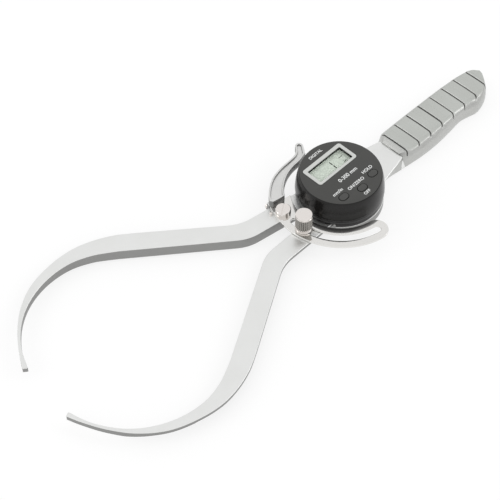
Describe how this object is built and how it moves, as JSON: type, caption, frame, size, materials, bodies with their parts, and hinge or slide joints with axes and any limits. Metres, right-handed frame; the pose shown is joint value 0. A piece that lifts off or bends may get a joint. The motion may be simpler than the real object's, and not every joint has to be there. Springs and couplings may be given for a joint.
{
  "type": "digital caliper",
  "caption": "Hinged outside caliper with two bowed polished jaws, round digital readout on the hinge, arc lock with knurled knob, thumb lever and ribbed grip.",
  "frame": {"origin": "on the hinge axis, in the plane that the back rests on", "axes": "+X along the closing line from the hinge to the jaw tips, +Y towards the fixed jaw, +Z out of the readout's face"},
  "size_m": [0.3782, 0.1479, 0.0278],
  "materials": {
    "polished_steel": "polished nickel-chrome over forged steel",
    "band_chrome": "mirror polished",
    "black_shell": "gloss black moulding",
    "face_grey": "satin dark grey",
    "bezel_grey": "light grey satin",
    "key_grey": "satin mid grey",
    "lcd_lens": "clear",
    "lcd_glass": "grey-green reflective display",
    "lever_cast": "satin die casting",
    "grip_cast": "satin die casting",
    "screw_chrome": "polished",
    "steel": "machined",
    "knob_chrome": "nickel plated",
    "bronze": "machined",
    "cap_black": "satin",
    "board": "solder mask",
    "elastomer": "matt",
    "carrier_alloy": "die cast"
  },
  "bodies": {
    "frame": {"fixed_jaw": "polished_steel", "hub_skirt": "black_shell", "pivot_post": "steel", "thrust_washer": "steel", "spring_washer": "steel", "back_cap": "cap_black", "pivot_nut": "steel", "lock_stud": "steel", "grip_upper": "grip_cast", "grip_lower": "grip_cast", "grip_screws": "steel", "readout_housing": "black_shell", "battery_door": "black_shell", "face_plate": "face_grey", "lcd_bezel": "bezel_grey", "lcd_lens": "lcd_lens", "lcd_glass": "lcd_glass", "zebra_strips": "elastomer", "circuit_board": "board", "key_membrane": "elastomer", "base_plate": "black_shell", "encoder_stator": "board", "carrier": "carrier_alloy", "readout_screws": "steel", "battery": "steel", "battery_clip": "steel"},
    "moving_jaw": {"moving_jaw": "polished_steel", "pivot_bush": "bronze", "lock_band": "band_chrome", "band_screw": "screw_chrome", "band_dowel": "steel", "thumb_lever": "lever_cast", "lever_screws": "screw_chrome", "encoder_rotor": "board"},
    "lock_washer": {"clamp_washer": "screw_chrome"},
    "lock_knob": {"lock_knob": "knob_chrome", "knob_insert": "bronze"},
    "hold_button": {"hold_button": "key_grey"},
    "zero_button": {"zero_button": "key_grey"},
    "unit_button": {"unit_button": "key_grey"}
  },
  "joints": [
    {"name": "jaw_hinge", "type": "hinge", "parent": "frame", "child": "moving_jaw", "pos_m": [0, 0, 0], "axis": [0, 0, -1], "range_deg": [-9.6, 69]},
    {"name": "lock_lift", "type": "slide", "parent": "frame", "child": "lock_washer", "axis": [0, 0, 1], "range_m": [0, 0.0008]},
    {"name": "lock_turn", "type": "hinge", "parent": "lock_washer", "child": "lock_knob", "pos_m": [0.03898, 0.00499, 0], "axis": [0, 0, 1], "range_deg": [0, 360]},
    {"name": "hold_button_press", "type": "slide", "parent": "frame", "child": "hold_button", "axis": [0, 0, -1], "range_m": [0, 0.0006], "stiffness_N_per_m": 1200, "springref_m": -0.0004},
    {"name": "zero_button_press", "type": "slide", "parent": "frame", "child": "zero_button", "axis": [0, 0, -1], "range_m": [0, 0.0006], "stiffness_N_per_m": 1200, "springref_m": -0.0004},
    {"name": "unit_button_press", "type": "slide", "parent": "frame", "child": "unit_button", "axis": [0, 0, -1], "range_m": [0, 0.0006], "stiffness_N_per_m": 1200, "springref_m": -0.0004}
  ],
  "couplings": [
    {"joint": "lock_turn", "follows": "lock_lift", "rad_per_m": 7854}
  ]
}
